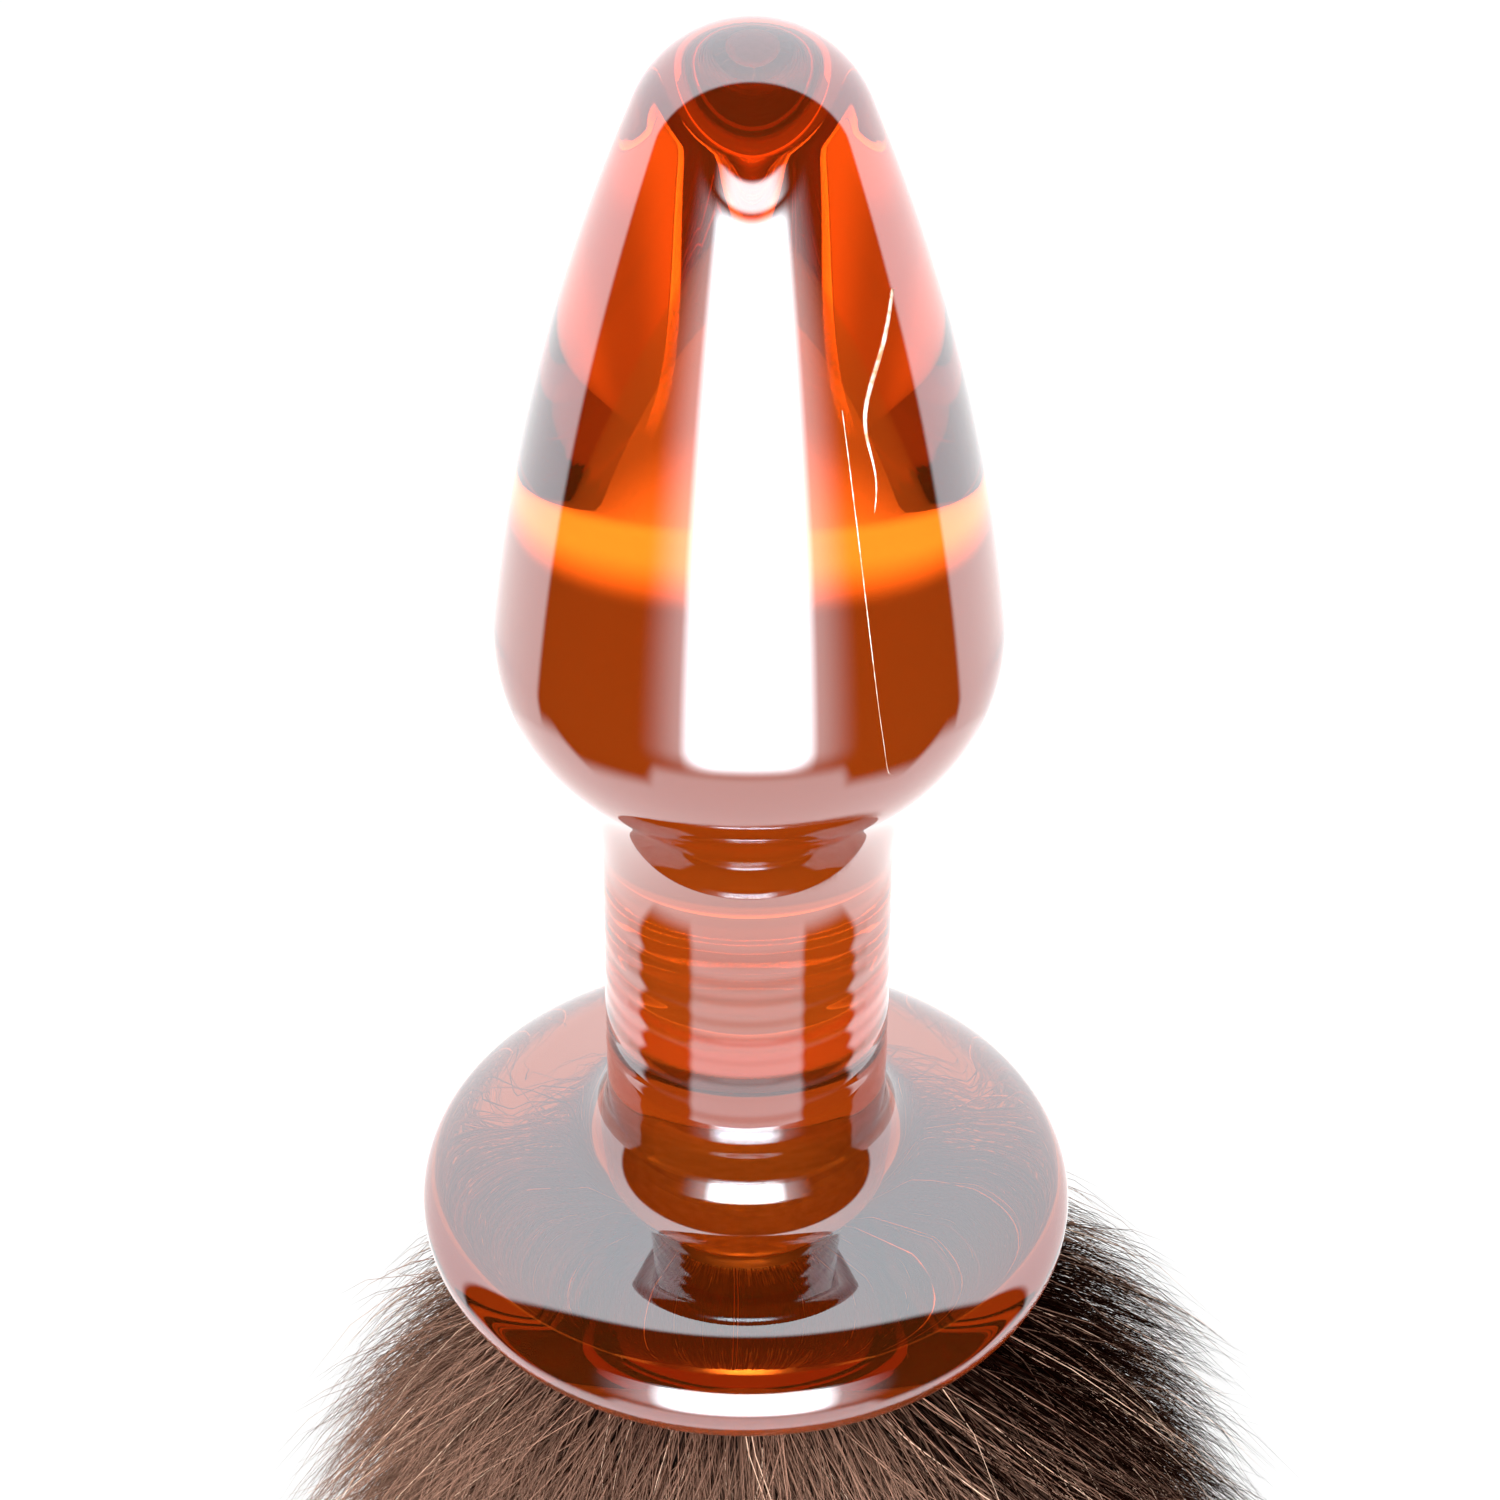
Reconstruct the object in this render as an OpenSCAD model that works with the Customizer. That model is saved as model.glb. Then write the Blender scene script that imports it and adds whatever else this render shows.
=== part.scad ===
// Glass plug with a fur tail.
// A solid amber glass plug stands on a round flared base. A metal end cap is glued into a blind
// socket in the base's underside, and the throat of a sewn fur tail is glued and bound into the cap.
// The origin is the middle of the base's flat underside, +Z runs up the plug's axis to its tip,
// and the tail hangs straight down along -Z. Millimetres.

/* [Plug] */
// Height from the flat underside to the tip
plug_h = 100.5; // [96:0.5:108]
// Radius of the rounded tip
tip_r = 8.3; // [7:0.1:9]
// Widest diameter of the bulb
bulb_d = 35.4; // [34:0.1:38]
// Height of the bulb's widest point
bulb_z = 56; // [54:0.5:60]
// Radius of the bulb's round shoulder
shoulder_r = 13; // [12:0.5:16]
// Radius of the long flank between the shoulder and the tip
flank_r = 145; // [110:5:200]
// Radius of the fillet under the bulb
bulb_fillet_r = 20; // [14:1:24]
// Diameter of the neck
neck_d = 21.1; // [20:0.1:23]
// Radius of the fillet between the neck and the base
base_fillet_r = 4; // [3:0.1:5]
// Diameter of the flared base
base_d = 50; // [48:0.5:56]
// Radius of the rim's rounding below its widest point
rim_low_r = 3.9; // [3:0.1:5]
// Radius of the rim's rounding above its widest point
rim_r = 4.1; // [4:0.1:6]
// Radius of the shallower arc from there to the base's top
rim_top_r = 11; // [8:0.5:13]
// Rise of the base's top towards the neck, in degrees
base_slope = 9; // [4:1:12]

/* [Socket and end cap] */
// Diameter of the blind socket in the underside
socket_d = 16; // [15:0.5:17]
// Depth of the socket
socket_depth = 11; // [10:0.5:14]
// Rounding of the socket's far corner
socket_corner = 3; // [2:0.5:4]
// Thickness of the glue between the socket and the cap
glue_t = 0.6; // [0.4:0.1:0.8]
// Wall of the metal end cap
cap_wall = 0.6; // [0.4:0.1:0.8]
// How far the cap reaches below the underside
cap_below = 1.6; // [1:0.1:2]
// Thickness of the glue between the cap and the hide
hide_glue_t = 0.5; // [0.3:0.1:0.6]

/* [Tail] */
// Length of the tail below the base, hair included
tail_l = 330; // [300:5:360]
// Length of the sewn hide below the base
hide_l = 292; // [270:1:295]
// Radius of the hide tube at its top
hide_top_r = 6.9; // [6.5:0.1:7]
// Radius of the hide tube at its end
hide_end_r = 3; // [2.5:0.1:4]
// Thickness of the hide
hide_t = 1.5; // [1:0.1:1.8]
// Radius of the hair just under the base
fur_throat_r = 22; // [18:1:26]
// Largest radius of the hair
fur_r = 44; // [38:1:48]
// Depth over which the hair spreads out
fur_spread = 35; // [20:1:50]
// Depth at which the hair starts to narrow towards the tip
fur_taper_z = 150; // [120:5:180]
// Largest swing of each bend, to either side, in degrees
swing = 30; // [15:1:30]
// Diameter of the binding thread
thread_d = 0.9; // [0.6:0.1:1]
// Turns of the binding thread
thread_turns = 4; // [3:1:4]

/* [Hidden] */

// Heights of the four bends, and of the hide's end
bend_throat_z = -10;
bend_upper_z = -45;
bend_middle_z = -120;
bend_lower_z = -205;
hide_end_z = -hide_l;

// The plug's outline: centres of its arcs, each tangent to the next
neck_r = neck_d / 2;
rim_turn = 50;
rim_low_c = [base_d / 2 - rim_low_r, rim_low_r];
rim_c = [base_d / 2 - rim_r, rim_low_r];
rim_top_c = rim_c + (rim_r - rim_top_r) * [cos(rim_turn), sin(rim_turn)];
rim_in = rim_top_c + rim_top_r * [sin(base_slope), cos(base_slope)];
tip_c = [0, plug_h - tip_r];
shoulder_c = [bulb_d / 2 - shoulder_r, bulb_z];
flank_c = meeting_point(tip_c, flank_r - tip_r, shoulder_c, flank_r - shoulder_r);
fillet_c = [
    neck_r + bulb_fillet_r,
    bulb_z - sqrt(pow(shoulder_r + bulb_fillet_r, 2) - pow(neck_r + bulb_fillet_r - shoulder_c[0], 2))
];
base_fillet_c = [
    neck_r + base_fillet_r,
    rim_in[1] + (rim_in[0] - neck_r - base_fillet_r) * tan(base_slope) + base_fillet_r / cos(base_slope)
];

// Socket, cap and hide throat, one inside the other
socket_r = socket_d / 2;
cap_r = socket_r - glue_t;
cap_top_z = socket_depth - 1.5;
cap_corner = 2;
cap_in_r = cap_r - cap_wall;
throat_r = cap_in_r - hide_glue_t;
throat_top_z = cap_top_z - cap_wall - 1;

// Ball and cup of each bend
ball_step = 0.3;
cup_gap = 0.4;
hair_relief = 0.9;
throat_relief_r = 10;
throat_relief_angle = 14;
bend_gap = 0.3;
v_angle = swing / 2;
base_gap = 0.5;

// Seam along the back of the hide
seam_w = 1.8;
seam_h = 1.5;
seam_gap = 0.5;
seam_margin = 9;
stitch_pitch = 7;
stitch_d = 0.7;
stitch_l = 2.8;
hair_step = 5;

glass_color = [0.86, 0.42, 0.10, 0.6];
glue_color = [0.85, 0.80, 0.66];
metal_color = [0.70, 0.70, 0.72];
hide_color = [0.80, 0.72, 0.60];
filling_color = [0.93, 0.92, 0.88];
thread_color = [0.22, 0.16, 0.12];
fur_color = [0.42, 0.33, 0.26];

// The point at distance r1 from p and r2 from q, on the side towards the axis and beyond
function meeting_point(p, r1, q, r2) =
    let (
        d = norm(q - p),
        along = (r1 * r1 - r2 * r2 + d * d) / (2 * d),
        across = sqrt(r1 * r1 - along * along),
        u = (q - p) / d
    )
    p + along * u + across * [u[1], -u[0]];

// Direction from p to q, in degrees
function heading(p, q) = atan2(q[1] - p[1], q[0] - p[0]);

// Points along an arc
function arc(c, r, a0, a1, steps) = [
    for (i = [0:steps])
        let (a = a0 + (a1 - a0) * i / steps)
        c + r * [cos(a), sin(a)]
];

// Radius of the hide at a height
function hide_r(z) =
    hide_top_r + (hide_end_r - hide_top_r) * (bend_throat_z - z) / (bend_throat_z - hide_end_z);

// Radius of the hair at a height
function hair_r(z) =
    let (
        spread = fur_throat_r + (fur_r - fur_throat_r) * (1 - exp(z / fur_spread)),
        u = max(0, (-z - fur_taper_z) / (tail_l - fur_taper_z))
    )
    spread * pow(max(0, 1 - pow(u, 2)), 0.6);

// Points down the outside of the hair
function hair_points(z0, z1) =
    let (steps = ceil((z0 - z1) / hair_step))
    [for (i = [0:steps]) let (z = z0 + (z1 - z0) * i / steps) [hair_r(z), z]];

// Height at which a cone that leaves the axis at a bend meets the hair's outside
function cone_meets_hair(z, slope, tries = 12, r = 40) =
    tries == 0 ? z + r * tan(slope) : cone_meets_hair(z, slope, tries - 1, hair_r(z + r * tan(slope)));

module glass_plug() {
    color(glass_color)
    difference() {
        rotate_extrude($fn = 128)
            polygon(concat(
                [[0, 0]],
                arc(rim_low_c, rim_low_r, -90, 0, 12),
                arc(rim_c, rim_r, 0, rim_turn, 10),
                arc(rim_top_c, rim_top_r, rim_turn, 90 - base_slope, 8),
                arc(base_fillet_c, base_fillet_r, 270 - base_slope, 180, 8),
                arc(fillet_c, bulb_fillet_r, 180, heading(fillet_c, shoulder_c), 8),
                arc(shoulder_c, shoulder_r, heading(fillet_c, shoulder_c) - 180,
                    heading(flank_c, shoulder_c), 20),
                arc(flank_c, flank_r, heading(flank_c, shoulder_c), heading(flank_c, tip_c), 20),
                arc(tip_c, tip_r, heading(flank_c, tip_c), 90, 12)
            ));
        socket_space(socket_r, socket_depth, socket_corner);
    }
}

// A straight round space with a rounded far corner, open at the underside
module socket_space(r, depth, corner, below = 0) {
    rotate_extrude($fn = 96)
        polygon(concat(
            [[0, -below], [r, -below]],
            arc([r - corner, depth - corner], corner, 0, 90, 6),
            [[0, depth]]
        ));
}

module socket_adhesive() {
    color(glue_color)
    difference() {
        socket_space(socket_r, socket_depth, socket_corner);
        socket_space(cap_r, cap_top_z, cap_corner, cap_below);
    }
}

module tail_cap() {
    color(metal_color)
    difference() {
        socket_space(cap_r, cap_top_z, cap_corner, cap_below);
        socket_space(cap_in_r, cap_top_z - cap_wall, cap_corner - cap_wall, cap_below + 1);
    }
}

module cap_adhesive() {
    color(glue_color)
    difference() {
        socket_space(cap_in_r, cap_top_z - cap_wall, cap_corner - cap_wall, cap_below);
        translate([0, 0, -cap_below - 1])
            cylinder(h = throat_top_z + cap_below + 1, r = throat_r, $fn = 96);
    }
}

// The round end of a hide tube, at a bend
module ball_end(z) {
    translate([0, 0, z])
        sphere(r = hide_r(z) - ball_step, $fn = 64);
}

// The space that a bend keeps free for the ball above it
module cup_space(z) {
    translate([0, 0, z])
        sphere(r = hide_r(z) + cup_gap, $fn = 64);
}

module hide_root() {
    color(hide_color)
    difference() {
        union() {
            translate([0, 0, bend_throat_z])
                cylinder(h = throat_top_z - bend_throat_z, r = throat_r, $fn = 96);
            ball_end(bend_throat_z);
        }
        filling_space_root(1);
    }
}

module filling_space_root(extra) {
    translate([0, 0, bend_throat_z])
        cylinder(h = throat_top_z - bend_throat_z + extra, r = throat_r - hide_t, $fn = 96);
}

module filling_root() {
    color(filling_color)
        filling_space_root(0);
}

// Turns of thread side by side round the throat, just under the end cap
module binding_thread() {
    bind_l = thread_turns * thread_d;
    color(thread_color)
    rotate_extrude($fn = 96)
        translate([throat_r, -cap_below - bind_l])
            union() {
                square([thread_d / 2, bind_l]);
                for (i = [0:thread_turns - 1])
                    translate([thread_d / 2, (i + 0.5) * thread_d])
                        circle(d = thread_d, $fn = 32);
            }
}

// The cone frustum of the hide between two heights, its radius lessened by an inset
module hide_frustum(z0, z1, inset = 0) {
    translate([0, 0, z1])
        cylinder(h = z0 - z1, r1 = hide_r(z1) - inset, r2 = hide_r(z0) - inset, $fn = 96);
}

// The standing edge of the hide's seam, along its back
module seam_ridge(z0, z1, extra) {
    foot_y = hide_r(z0) - hide_t / 2;
    top_y = hide_r(z0) + seam_h + extra;
    translate([-seam_w / 2 - extra, foot_y, z1 + seam_margin - extra])
        cube([seam_w + 2 * extra, top_y - foot_y, z0 - z1 - 2 * seam_margin + 2 * extra]);
}

// The stitches through the seam's standing edge
module stitches(z0, z1) {
    count = floor((z0 - z1 - 2 * seam_margin - stitch_pitch) / stitch_pitch);
    first = (z0 + z1) / 2 - count * stitch_pitch / 2;
    for (i = [0:count])
        translate([-stitch_l / 2, hide_r(z0) + seam_h / 2, first + i * stitch_pitch])
            rotate([0, 90, 0])
                cylinder(h = stitch_l, d = stitch_d, $fn = 24);
}

// One length of the sewn hide, a cup at its top and a ball or a closed end at its bottom
module hide(z0, z1, closed) {
    floor_z = closed ? z1 + hide_t : z1;
    color(hide_color)
    difference() {
        union() {
            hide_frustum(z0, z1);
            seam_ridge(z0, z1, 0);
            if (!closed)
                ball_end(z1);
        }
        cup_space(z0);
        hide_frustum(z0, floor_z, hide_t);
        stitches(z0, z1);
    }
}

module filling(z0, z1, closed) {
    floor_z = closed ? z1 + hide_t : z1;
    color(filling_color)
    difference() {
        hide_frustum(z0, floor_z, hide_t);
        cup_space(z0);
    }
}

module seam(z0, z1) {
    color(thread_color)
        stitches(z0, z1);
}

// Outline of one length of hair between two bends. Its ends are cones that leave room for the swing.
function hair_outline(z0, z1) =
    let (
        top_z = cone_meets_hair(z0 - bend_gap, -v_angle),
        low_z = cone_meets_hair(z1 + bend_gap, v_angle)
    )
    concat([[0, z0 - bend_gap]], hair_points(top_z, low_z), [[0, z1 + bend_gap]]);

// Outline of the first length of hair, which swings clear of the base and of the bound throat
function throat_outline(z0, z1) =
    let (
        rise = -z0 - base_gap,
        inner_r = rise / (cos(swing) * tan(throat_relief_angle) + sin(swing)),
        apex = z0 + rise / cos(swing),
        top_z = cone_meets_hair(apex, -swing),
        low_z = cone_meets_hair(z1 + bend_gap, v_angle)
    )
    concat(
        [[0, z0], [inner_r, z0 + inner_r * tan(throat_relief_angle)]],
        hair_points(top_z, low_z),
        [[0, z1 + bend_gap]]
    );

// Outline of the last length of hair, which closes at the tail's tip
function tip_outline(z0) =
    let (top_z = cone_meets_hair(z0 - bend_gap, -v_angle))
    concat([[0, z0 - bend_gap]], hair_points(top_z, -tail_l));

// A length of hair round the hide, with room for the seam and for the ball above it
module fur(outline, z0, z1, relief_r) {
    color(fur_color)
    difference() {
        rotate_extrude($fn = 96)
            polygon(outline);
        hide_frustum(z0, z1);
        translate([0, 0, z0])
            sphere(r = relief_r, $fn = 64);
        seam_ridge(z0, z1, seam_gap);
    }
}

module fur_throat() {
    fur(throat_outline(bend_throat_z, bend_upper_z), bend_throat_z, bend_upper_z, throat_relief_r);
}

module fur_upper() {
    fur(hair_outline(bend_upper_z, bend_middle_z), bend_upper_z, bend_middle_z,
        hide_r(bend_upper_z) + hair_relief);
}

module fur_middle() {
    fur(hair_outline(bend_middle_z, bend_lower_z), bend_middle_z, bend_lower_z,
        hide_r(bend_middle_z) + hair_relief);
}

module fur_lower() {
    fur(tip_outline(bend_lower_z), bend_lower_z, hide_end_z, hide_r(bend_lower_z) + hair_relief);
}

glass_plug();
socket_adhesive();
tail_cap();
cap_adhesive();
hide_root();
filling_root();
binding_thread();
hide(bend_throat_z, bend_upper_z, false);  // hide_throat
filling(bend_throat_z, bend_upper_z, false);  // filling_throat
seam(bend_throat_z, bend_upper_z);  // seam_throat
fur_throat();
hide(bend_upper_z, bend_middle_z, false);  // hide_upper
filling(bend_upper_z, bend_middle_z, false);  // filling_upper
seam(bend_upper_z, bend_middle_z);  // seam_upper
fur_upper();
hide(bend_middle_z, bend_lower_z, false);  // hide_middle
filling(bend_middle_z, bend_lower_z, false);  // filling_middle
seam(bend_middle_z, bend_lower_z);  // seam_middle
fur_middle();
hide(bend_lower_z, hide_end_z, true);  // hide_lower
filling(bend_lower_z, hide_end_z, true);  // filling_lower
seam(bend_lower_z, hide_end_z);  // seam_lower
fur_lower();
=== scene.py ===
"""Looks of a solid amber glass plug with a fur tail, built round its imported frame.

Lengths are in metres and angles in degrees unless a name says otherwise. The plug's axis is Z, the middle of
its flat underside is the origin, and the tail hangs along -Z.
"""

from __future__ import annotations

import logging
import math
from dataclasses import dataclass, field
from enum import Enum

import bpy
import numpy as np
from mathutils import Matrix, Vector

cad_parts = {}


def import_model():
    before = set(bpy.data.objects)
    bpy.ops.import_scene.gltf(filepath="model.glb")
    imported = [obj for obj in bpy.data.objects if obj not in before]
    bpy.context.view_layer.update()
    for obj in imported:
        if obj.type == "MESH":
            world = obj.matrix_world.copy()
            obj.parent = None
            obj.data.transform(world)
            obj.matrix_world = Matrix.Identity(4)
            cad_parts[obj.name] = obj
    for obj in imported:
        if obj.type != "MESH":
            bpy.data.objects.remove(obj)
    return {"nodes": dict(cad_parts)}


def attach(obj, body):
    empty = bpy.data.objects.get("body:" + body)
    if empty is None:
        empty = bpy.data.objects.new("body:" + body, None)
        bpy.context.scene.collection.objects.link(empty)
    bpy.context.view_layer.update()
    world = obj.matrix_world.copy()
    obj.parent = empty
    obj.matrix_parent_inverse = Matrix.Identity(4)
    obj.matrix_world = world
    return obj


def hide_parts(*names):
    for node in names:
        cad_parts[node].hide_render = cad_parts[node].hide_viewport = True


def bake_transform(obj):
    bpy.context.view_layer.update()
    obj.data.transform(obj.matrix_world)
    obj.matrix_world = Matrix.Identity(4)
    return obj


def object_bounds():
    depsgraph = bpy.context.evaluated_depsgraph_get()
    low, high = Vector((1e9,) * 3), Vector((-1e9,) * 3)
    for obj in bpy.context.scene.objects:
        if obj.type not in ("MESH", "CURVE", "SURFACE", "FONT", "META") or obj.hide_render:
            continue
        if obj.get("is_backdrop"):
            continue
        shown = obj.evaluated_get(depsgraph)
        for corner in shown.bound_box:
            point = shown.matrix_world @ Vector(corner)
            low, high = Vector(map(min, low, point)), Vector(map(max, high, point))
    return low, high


LOG = logging.getLogger("glass_plug")
MM = 0.001


# --------------------------------------------------------------------------------------------------
# Small helpers: colours, nodes and meshes
# --------------------------------------------------------------------------------------------------


@dataclass(frozen=True)
class Tint:
    """A colour as a paint chart gives it, with red, green and blue from 0 to 255."""

    red: float
    green: float
    blue: float

    def linear(self) -> tuple[float, float, float, float]:
        """Return the colour as linear light, with a full alpha."""
        parts = [c / 255 for c in (self.red, self.green, self.blue)]
        light = [p / 12.92 if p <= 0.04045 else ((p + 0.055) / 1.055) ** 2.4 for p in parts]
        return (light[0], light[1], light[2], 1.0)


class NodeSheet:
    """A node tree that is filled one node at a time."""

    def __init__(self, tree: bpy.types.NodeTree) -> None:
        """Start from an empty tree.

        Args:
            tree: the node tree to clear and fill.
        """
        self.tree = tree
        self.tree.nodes.clear()

    def add(self, kind: str, inputs: dict | None = None, **settings: object) -> bpy.types.Node:
        """Add one node.

        Args:
            kind: the node's type name.
            inputs: a value, or a socket to link from, for each input by name or number.
            settings: attributes to set on the node.

        Returns:
            The new node.
        """
        node = self.tree.nodes.new(kind)
        for name, value in settings.items():
            setattr(node, name, value)
        for key, value in (inputs or {}).items():
            if isinstance(value, bpy.types.NodeSocket):
                self.tree.links.new(value, node.inputs[key])
            else:
                node.inputs[key].default_value = value
        return node

    def math(self, operation: str, *values: object) -> bpy.types.NodeSocket:
        """Add a Math node.

        Args:
            operation: the node's operation.
            values: its inputs, as numbers or sockets.

        Returns:
            Its result.
        """
        return self.add("ShaderNodeMath", dict(enumerate(values)), operation=operation).outputs[0]

    def step(self, value: bpy.types.NodeSocket, low: float, high: float) -> bpy.types.NodeSocket:
        """Add a smooth step.

        Args:
            value: what is tested.
            low: where the step is 0.
            high: where the step is 1. It may be below low.

        Returns:
            The step, from 0 to 1.
        """
        node = self.add(
            "ShaderNodeMapRange",
            {"Value": value, "From Min": low, "From Max": high},
            interpolation_type="SMOOTHSTEP",
        )
        return node.outputs[0]


def new_material(name: str) -> tuple[bpy.types.Material, NodeSheet]:
    """Make an empty material.

    Args:
        name: the material's name.

    Returns:
        The material and its node sheet.
    """
    material = bpy.data.materials.new(name)
    material.use_nodes = True
    return material, NodeSheet(material.node_tree)


def mesh_piece(
    name: str,
    points: np.ndarray,
    faces: list,
    materials: list[bpy.types.Material],
    smooth: bool = True,
) -> bpy.types.Object:
    """Make a mesh object.

    Args:
        name: the object's name.
        points: one row of three for each vertex.
        faces: the vertex numbers of each face.
        materials: the materials of its slots.
        smooth: whether its faces are shaded smooth.

    Returns:
        The object, linked into the scene.
    """
    mesh = bpy.data.meshes.new(name)
    mesh.from_pydata(points.tolist(), [], faces)
    mesh.polygons.foreach_set("use_smooth", [smooth] * len(mesh.polygons))
    mesh.update()
    for material in materials:
        mesh.materials.append(material)
    piece = bpy.data.objects.new(name, mesh)
    bpy.context.scene.collection.objects.link(piece)
    return piece


def lathe(outline: np.ndarray, turns: int) -> tuple[np.ndarray, list]:
    """Turn an outline round Z into a closed skin.

    Args:
        outline: rows of radius and height, whose first and last points lie on the axis.
        turns: how many points each ring has.

    Returns:
        The vertices and the faces.
    """
    angle = np.arange(turns) * 2 * math.pi / turns
    rings = outline[1:-1]
    ring_points = np.stack(
        [
            rings[:, None, 0] * np.cos(angle),
            rings[:, None, 0] * np.sin(angle),
            np.repeat(rings[:, None, 1], turns, axis=1),
        ],
        axis=-1,
    ).reshape(-1, 3)
    ends = np.array([[0, 0, outline[0, 1]], [0, 0, outline[-1, 1]]])
    points = np.vstack([ring_points, ends])
    low, high = len(ring_points), len(ring_points) + 1
    last = (len(rings) - 1) * turns
    faces = []
    for k in range(turns):
        after = (k + 1) % turns
        faces.append((low, after, k))
        faces.append((high, last + k, last + after))
        for ring in range(len(rings) - 1):
            a, b = ring * turns, (ring + 1) * turns
            faces.append((a + k, a + after, b + after, b + k))
    return points, faces


# --------------------------------------------------------------------------------------------------
# The glass plug
# --------------------------------------------------------------------------------------------------


@dataclass(frozen=True)
class AmberGlass:
    """Clear amber glass with a thin lustre on its skin."""

    tint: tuple[float, float, float] = (0.92, 0.19, 0.018)
    clearness: tuple[float, float, float] = (0.88, 0.42, 0.0)
    density: float = 32.0
    clear_share: float = 0.97
    ior: float = 1.50
    film_nm: float = 62.0
    film_ior: float = 1.8

    def material(self) -> bpy.types.Material:
        """Return the glass as a material with a coloured depth."""
        material, sheet = new_material("amber_glass")
        skin = sheet.add(
            "ShaderNodeBsdfPrincipled",
            {
                "Base Color": (*self.tint, 1.0),
                "Roughness": 0.0,
                "IOR": self.ior,
                "Transmission Weight": self.clear_share,
                "Thin Film Thickness": self.film_nm,
                "Thin Film IOR": self.film_ior,
            },
        )
        depth = sheet.add(
            "ShaderNodeVolumeAbsorption", {"Color": (*self.clearness, 1.0), "Density": self.density}
        )
        sheet.add("ShaderNodeOutputMaterial", {"Surface": skin.outputs[0], "Volume": depth.outputs[0]})
        return material


@dataclass
class GlassPlug:
    """The solid glass plug: bulb, neck, flared base and the blind socket underneath."""

    height: float = 100.5 * MM
    tip_r: float = 8.3 * MM
    bulb_r: float = 17.7 * MM
    bulb_z: float = 56 * MM
    shoulder_r: float = 13 * MM
    flank_r: float = 145 * MM
    bulb_fillet: float = 20 * MM
    neck_r: float = 10.55 * MM
    base_fillet: float = 4 * MM
    base_r: float = 25 * MM
    rim_low_r: float = 3.9 * MM
    rim_r: float = 4.1 * MM
    rim_top_r: float = 11 * MM
    rim_turn: float = 50
    base_slope: float = 9
    socket_r: float = 7.96 * MM
    socket_depth: float = 10.96 * MM
    socket_corner: float = 3 * MM
    ring_height: float = 0.012 * MM
    turns: int = 192
    glass: AmberGlass = field(default_factory=AmberGlass)

    @staticmethod
    def arc(centre: np.ndarray, radius: float, start: float, end: float, steps: int) -> np.ndarray:
        """Return points along an arc.

        Args:
            centre: its centre, as radius and height.
            radius: its radius.
            start: the first point's direction, in degrees.
            end: the last point's direction, in degrees.
            steps: how many pieces it is divided into.

        Returns:
            Rows of radius and height.
        """
        a = np.radians(np.linspace(start, end, steps + 1))
        return np.asarray(centre) + radius * np.stack([np.cos(a), np.sin(a)], axis=1)

    @staticmethod
    def heading(p: np.ndarray, q: np.ndarray) -> float:
        """Return the direction from p to q, in degrees."""
        return math.degrees(math.atan2(q[1] - p[1], q[0] - p[0]))

    def flank_centre(self, tip: np.ndarray, shoulder: np.ndarray) -> np.ndarray:
        """Return the centre of the flank's arc, which is tangent to the tip and the shoulder.

        Args:
            tip: the tip arc's centre.
            shoulder: the shoulder arc's centre.

        Returns:
            The centre, as radius and height.
        """
        to_tip, to_shoulder = self.flank_r - self.tip_r, self.flank_r - self.shoulder_r
        gap = float(np.linalg.norm(shoulder - tip))
        along = (to_tip**2 - to_shoulder**2 + gap**2) / (2 * gap)
        across = math.sqrt(to_tip**2 - along**2)
        u = (shoulder - tip) / gap
        return tip + along * u + across * np.array([u[1], -u[0]])

    def outline(self) -> np.ndarray:
        """Return the plug's outline, from the socket's end round the base and up to the tip."""
        tip = np.array([0, self.height - self.tip_r])
        shoulder = np.array([self.bulb_r - self.shoulder_r, self.bulb_z])
        flank = self.flank_centre(tip, shoulder)
        reach = self.neck_r + self.bulb_fillet
        apart = self.shoulder_r + self.bulb_fillet
        fillet = np.array([reach, self.bulb_z - math.sqrt(apart**2 - (reach - shoulder[0]) ** 2)])
        turn, slope = math.radians(self.rim_turn), math.radians(self.base_slope)
        rim = np.array([self.base_r - self.rim_r, self.rim_low_r])
        rim_top = rim + (self.rim_r - self.rim_top_r) * np.array([math.cos(turn), math.sin(turn)])
        rim_in = rim_top + self.rim_top_r * np.array([math.sin(slope), math.cos(slope)])
        foot_r = self.neck_r + self.base_fillet
        foot_rise = (rim_in[0] - foot_r) * math.tan(slope)
        foot = np.array([foot_r, rim_in[1] + foot_rise + self.base_fillet / math.cos(slope)])
        corner = np.array([self.socket_r - self.socket_corner, self.socket_depth - self.socket_corner])
        pieces = [
            [[0, self.socket_depth]],
            self.arc(corner, self.socket_corner, 90, 0, 10),
            [[self.socket_r, 0.3 * MM]],
            self.arc(np.array([self.socket_r + 0.3 * MM, 0.3 * MM]), 0.3 * MM, 180, 270, 4)[1:],
            self.arc(np.array([self.base_r - self.rim_low_r, self.rim_low_r]), self.rim_low_r, -90, 0, 20),
            self.arc(rim, self.rim_r, 0, self.rim_turn, 18)[1:],
            self.arc(rim_top, self.rim_top_r, self.rim_turn, 90 - self.base_slope, 14)[1:],
            self.arc(foot, self.base_fillet, 270 - self.base_slope, 180, 16),
            self.neck(foot[1], fillet[1]),
            self.arc(fillet, self.bulb_fillet, 180, self.heading(fillet, shoulder), 16),
            self.arc(
                shoulder,
                self.shoulder_r,
                self.heading(fillet, shoulder) - 180,
                self.heading(flank, shoulder),
                40,
            )[1:],
            self.arc(flank, self.flank_r, self.heading(flank, shoulder), self.heading(flank, tip), 60)[1:],
            self.arc(tip, self.tip_r, self.heading(flank, tip), 90, 30)[1:-1],
            [[0, self.height]],
        ]
        return np.vstack([np.asarray(p, float) for p in pieces])

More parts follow.
